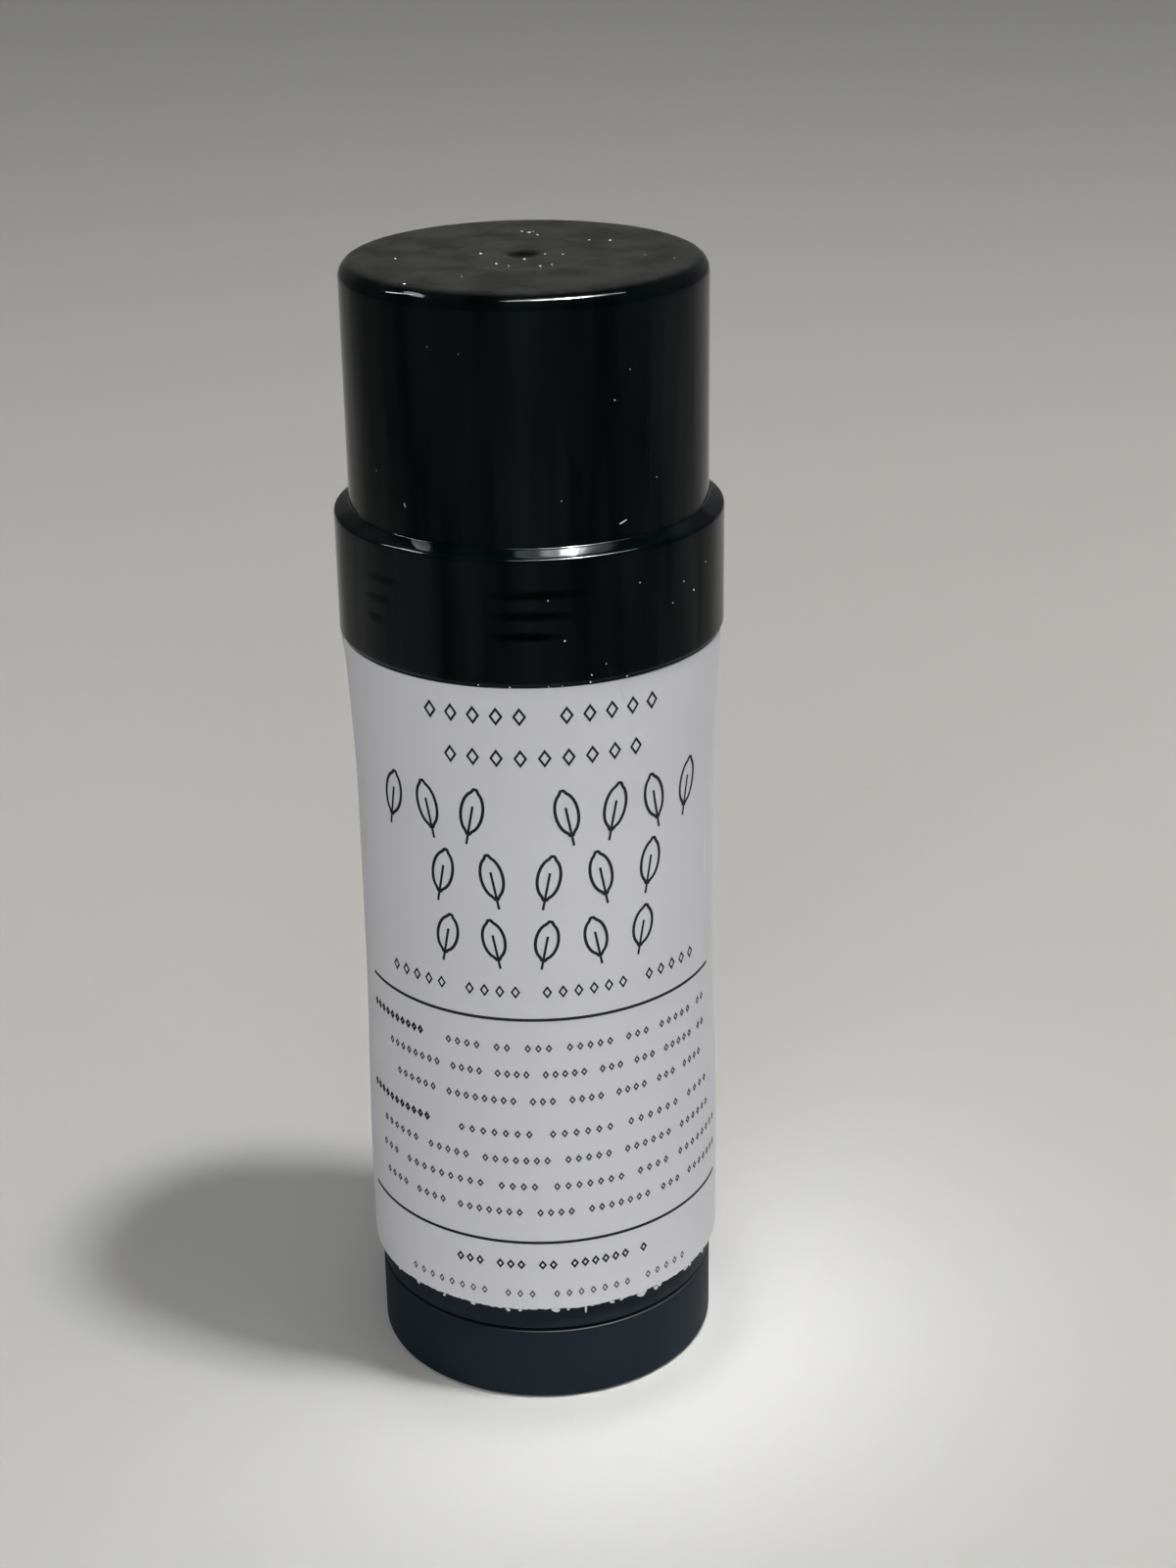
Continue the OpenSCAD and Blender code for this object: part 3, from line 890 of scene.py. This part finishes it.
def wordStarts(words, fromAngle, toAngle, markWidth):
    # Even letter pitch over the whole row, with a letter's gap between words
    letters = sum(words) + len(words) - 1
    start, end = alongSheet(fromAngle), alongSheet(toAngle)
    pitch = (end - start - markWidth) / (letters - 1)
    place = 0
    for word in words:
        yield start + markWidth / 2 + place * pitch, word, pitch
        place += word + 1


def makeLozenges(rows):
    cards = []
    for z, fromAngle, toAngle, words, width, height, line in rows:
        for x, count, pitch in wordStarts(words, fromAngle, toAngle, width):
            clearSelection()
            bpy.ops.mesh.primitive_circle_add(vertices=4, radius=0.5, fill_type="NGON",
                                              enter_editmode=True, rotation=(math.pi / 2, 0, 0),
                                              location=(mm(x), -mm(printStyle["front"]), mm(z)))
            card = bpy.context.object
            card.scale = (mm(width), mm(height), 1)
            bpy.ops.object.mode_set(mode="OBJECT")
            bpy.ops.object.transform_apply(location=True, rotation=True, scale=True)
            openOutline(card, line)
            cards.append(repeatAlong(card, count, pitch))
    return cards


def openOutline(card, line):
    pickPiece(card)
    bpy.ops.object.mode_set(mode="EDIT")
    bpy.ops.mesh.select_all(action="SELECT")
    bpy.ops.mesh.inset(thickness=mm(line))
    bpy.ops.mesh.delete(type="FACE")
    bpy.ops.object.mode_set(mode="OBJECT")


def makeLeaf(height):
    # An open leaf that stands on its stalk, with a vein part of the way up it
    stalk = leafStyle["stalk"] * height
    blade = height - stalk
    clearSelection()
    bpy.ops.mesh.primitive_circle_add(vertices=leafStyle["corners"], radius=0.5, fill_type="NGON",
                                      rotation=(math.pi / 2, 0, 0))
    leaf = bpy.context.object
    leaf.scale = (mm(leafStyle["width"]), mm(blade * leafStyle["oval"]), 1)
    leaf.location = (0, 0, mm(stalk + blade / 2))
    bpy.ops.object.transform_apply(location=True, rotation=True, scale=True)
    bpy.ops.object.mode_set(mode="EDIT")
    zone = leafStyle["tipZone"] * blade
    for side, end in ((-1, stalk + zone), (1, height - zone)):
        selectWhere(leaf, lambda p: (p.z - end) * side > -0.02)
        bpy.ops.transform.translate(value=(0, 0, mm(leafStyle["tipOut"] * blade * side)))
    bpy.ops.object.mode_set(mode="OBJECT")
    openOutline(leaf, leafStyle["line"])
    veinTop = stalk + leafStyle["vein"] * blade
    clearSelection()
    bpy.ops.mesh.primitive_plane_add(size=1, rotation=(math.pi / 2, 0, 0),
                                     location=(0, 0, mm(veinTop / 2)))
    vein = bpy.context.object
    vein.scale = (mm(leafStyle["line"] * leafStyle["veinLine"]), mm(veinTop), 1)
    bpy.ops.object.transform_apply(location=True, rotation=True, scale=True)
    return joinPieces("leaf", [leaf, vein])


def makeLeaves():
    cards = []
    for foot, fromAngle, toAngle, groups, height in leafRows:
        pattern = makeLeaf(height)
        side = 1
        for x, count, pitch in wordStarts(groups, fromAngle, toAngle, leafStyle["width"]):
            for i in range(count):
                leaf = pattern.copy()
                leaf.data = pattern.data.copy()
                bpy.context.scene.collection.objects.link(leaf)
                leaf.rotation_euler = (0, math.radians(leafStyle["lean"] * side), 0)
                shift = 0.5 * height * math.sin(math.radians(leafStyle["lean"])) * side
                leaf.location = (mm(x + i * pitch - shift), -mm(printStyle["front"]), mm(foot))
                pickPiece(leaf)
                bpy.ops.object.transform_apply(location=True, rotation=True, scale=True)
                cards.append(leaf)
                side = -side
        bpy.data.objects.remove(pattern)
    return cards


def makeRules():
    cards = []
    for z, fromAngle, toAngle in ruleRows:
        start, end = alongSheet(fromAngle), alongSheet(toAngle)
        columns = int(end - start) * printStyle["columnsPerMm"]
        cards.append(flatCard((start + end) / 2, z, end - start, printStyle["line"], columns))
    return cards


def layPrint(marks, paper):
    applyModifier(marks, "SHRINKWRAP", target=paper, wrap_method="PROJECT", use_project_y=True,
                  use_negative_direction=False, use_positive_direction=True,
                  wrap_mode="ABOVE_SURFACE", offset=mm(printStyle["proud"]))
    applyModifier(marks, "SOLIDIFY", thickness=mm(printStyle["thickness"]), offset=1)
    bendRound(marks)


def makeLabel(paperMaterial, ink, smallInk):
    paper = makeSheet()
    small = [row for row in lozengeRows if row[5] < printStyle["smallUnder"]]
    large = [row for row in lozengeRows if row not in small]
    marks = joinPieces("labelPrint", makeRules() + makeLeaves() + makeLozenges(large))
    smallMarks = joinPieces("labelSmallPrint", makeLozenges(small))
    layPrint(marks, paper)
    layPrint(smallMarks, paper)
    bendRound(paper)
    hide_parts("label")
    dressed = [(paper, paperMaterial), (makeTornBits(), paperMaterial), (marks, ink),
               (smallMarks, smallInk)]
    for piece, material in dressed:
        finishPiece(piece, material, "barrel")


# Stage: camera, floor and lamps

view = {
    "lens": 60.75,
    "place": (0, -0.2472, 0.16774),
    "right": 0.0214,
    "down": 0.4038,
    "tilt": -0.0152,
    "nearest": 0.01,
}
lamps = [
    # name, place, width, depth, watts, tint
    ("keyLamp", (0.25, -0.10, 0.95), 0.08, 0.08, 4.3, (1.0, 0.985, 0.96)),
    ("frontFill", (-0.1, -1.25, 0.5), 1.0, 0.6, 5.4, (0.97, 0.985, 1.0)),
]
strips = [
    # the same for those that show only in gloss
    ("ledgeGlow", (0.27, -0.28, 1.0), 1.05, 0.20, 28.0, (0.90, 0.95, 1.0)),
    ("ledgeStrip", (0.31, -0.31, 1.0), 0.60, 0.09, 44.0, (0.93, 0.97, 1.0)),
    ("ledgeCore", (0.33, -0.32, 1.0), 0.26, 0.08, 110.0, (0.96, 0.98, 1.0)),
    ("ledgePoint", (0.308, -0.31, 1.0), 0.06, 0.06, 220.0, (1.0, 1.0, 1.0)),
    ("leftGlow", (-0.67, 0.09, 0.87), 0.46, 0.16, 7.0, (0.90, 0.95, 1.0)),
    ("leftStrip", (-0.75, 0.13, 0.72), 0.05, 0.34, 6.0, (0.93, 0.96, 1.0)),
]
room = {
    "floorSize": 8,
    "aimHeight": 0.06,
    # each strip's turn about its own axis, so that it follows the ledge
    "stripTurn": -20,
    "colour": (0.80, 0.80, 0.79),
    "strength": 0.25,
}


def makeCamera():
    camera = bpy.data.objects.new("photoView", bpy.data.cameras.new("photoView"))
    bpy.context.scene.collection.objects.link(camera)
    camera.data.lens = view["lens"]
    camera.data.clip_start = view["nearest"]
    look = Euler((math.pi / 2 - view["down"], 0, -view["right"])).to_matrix()
    turn = look @ Matrix.Rotation(view["tilt"], 3, "Z")
    camera.matrix_world = Matrix.Translation(view["place"]) @ turn.to_4x4()
    bpy.context.scene.camera = camera


def addLamp(name, place, width, depth, watts, tint, isStrip):
    lamp = bpy.data.objects.new(name, bpy.data.lights.new(name, "AREA"))
    bpy.context.scene.collection.objects.link(lamp)
    lamp.data.shape = "ELLIPSE" if isStrip else "RECTANGLE"
    lamp.data.size = width
    lamp.data.size_y = depth
    lamp.data.energy = watts
    lamp.data.color = tint
    lamp.location = place
    aim = (Vector((0, 0, room["aimHeight"])) - Vector(place)).to_track_quat("-Z", "Y")
    turn = math.radians(room["stripTurn"] if isStrip else 0)
    lamp.rotation_euler = (aim @ Quaternion((0, 0, 1), turn)).to_euler()
    lamp.visible_glossy = isStrip
    lamp.visible_diffuse = not isStrip


def makeStage(material):
    clearSelection()
    bpy.ops.mesh.primitive_plane_add(size=room["floorSize"])
    floor = bpy.context.object
    floor.name = "floor"
    floor.data.materials.append(material)
    for lamp in lamps:
        addLamp(*lamp, isStrip=False)
    for strip in strips:
        addLamp(*strip, isStrip=True)
    world = bpy.data.worlds.new("softRoom")
    bpy.context.scene.world = world
    world.use_nodes = True
    background = world.node_tree.nodes["Background"]
    background.inputs["Color"].default_value = (*room["colour"], 1)
    background.inputs["Strength"].default_value = room["strength"]
    bpy.context.scene.view_settings.view_transform = "Standard"


makeCap(capPlastic())
makeDust(plainMaterial("dustLint"))
print("cap done")
makeBarrel(plainMaterial("barrelPlastic"))
makeDial(plainMaterial("dialPlastic"))
makeElevator(plainMaterial("elevatorPlastic"))
makeBar(plainMaterial("castButter"))
print("barrel, dial and stick done")
makeLabel(plainMaterial("labelPaper"), plainMaterial("printInk"), plainMaterial("faintInk"))
print("label done")
makeCamera()
makeStage(plainMaterial("floorPaint"))
print("stage done")
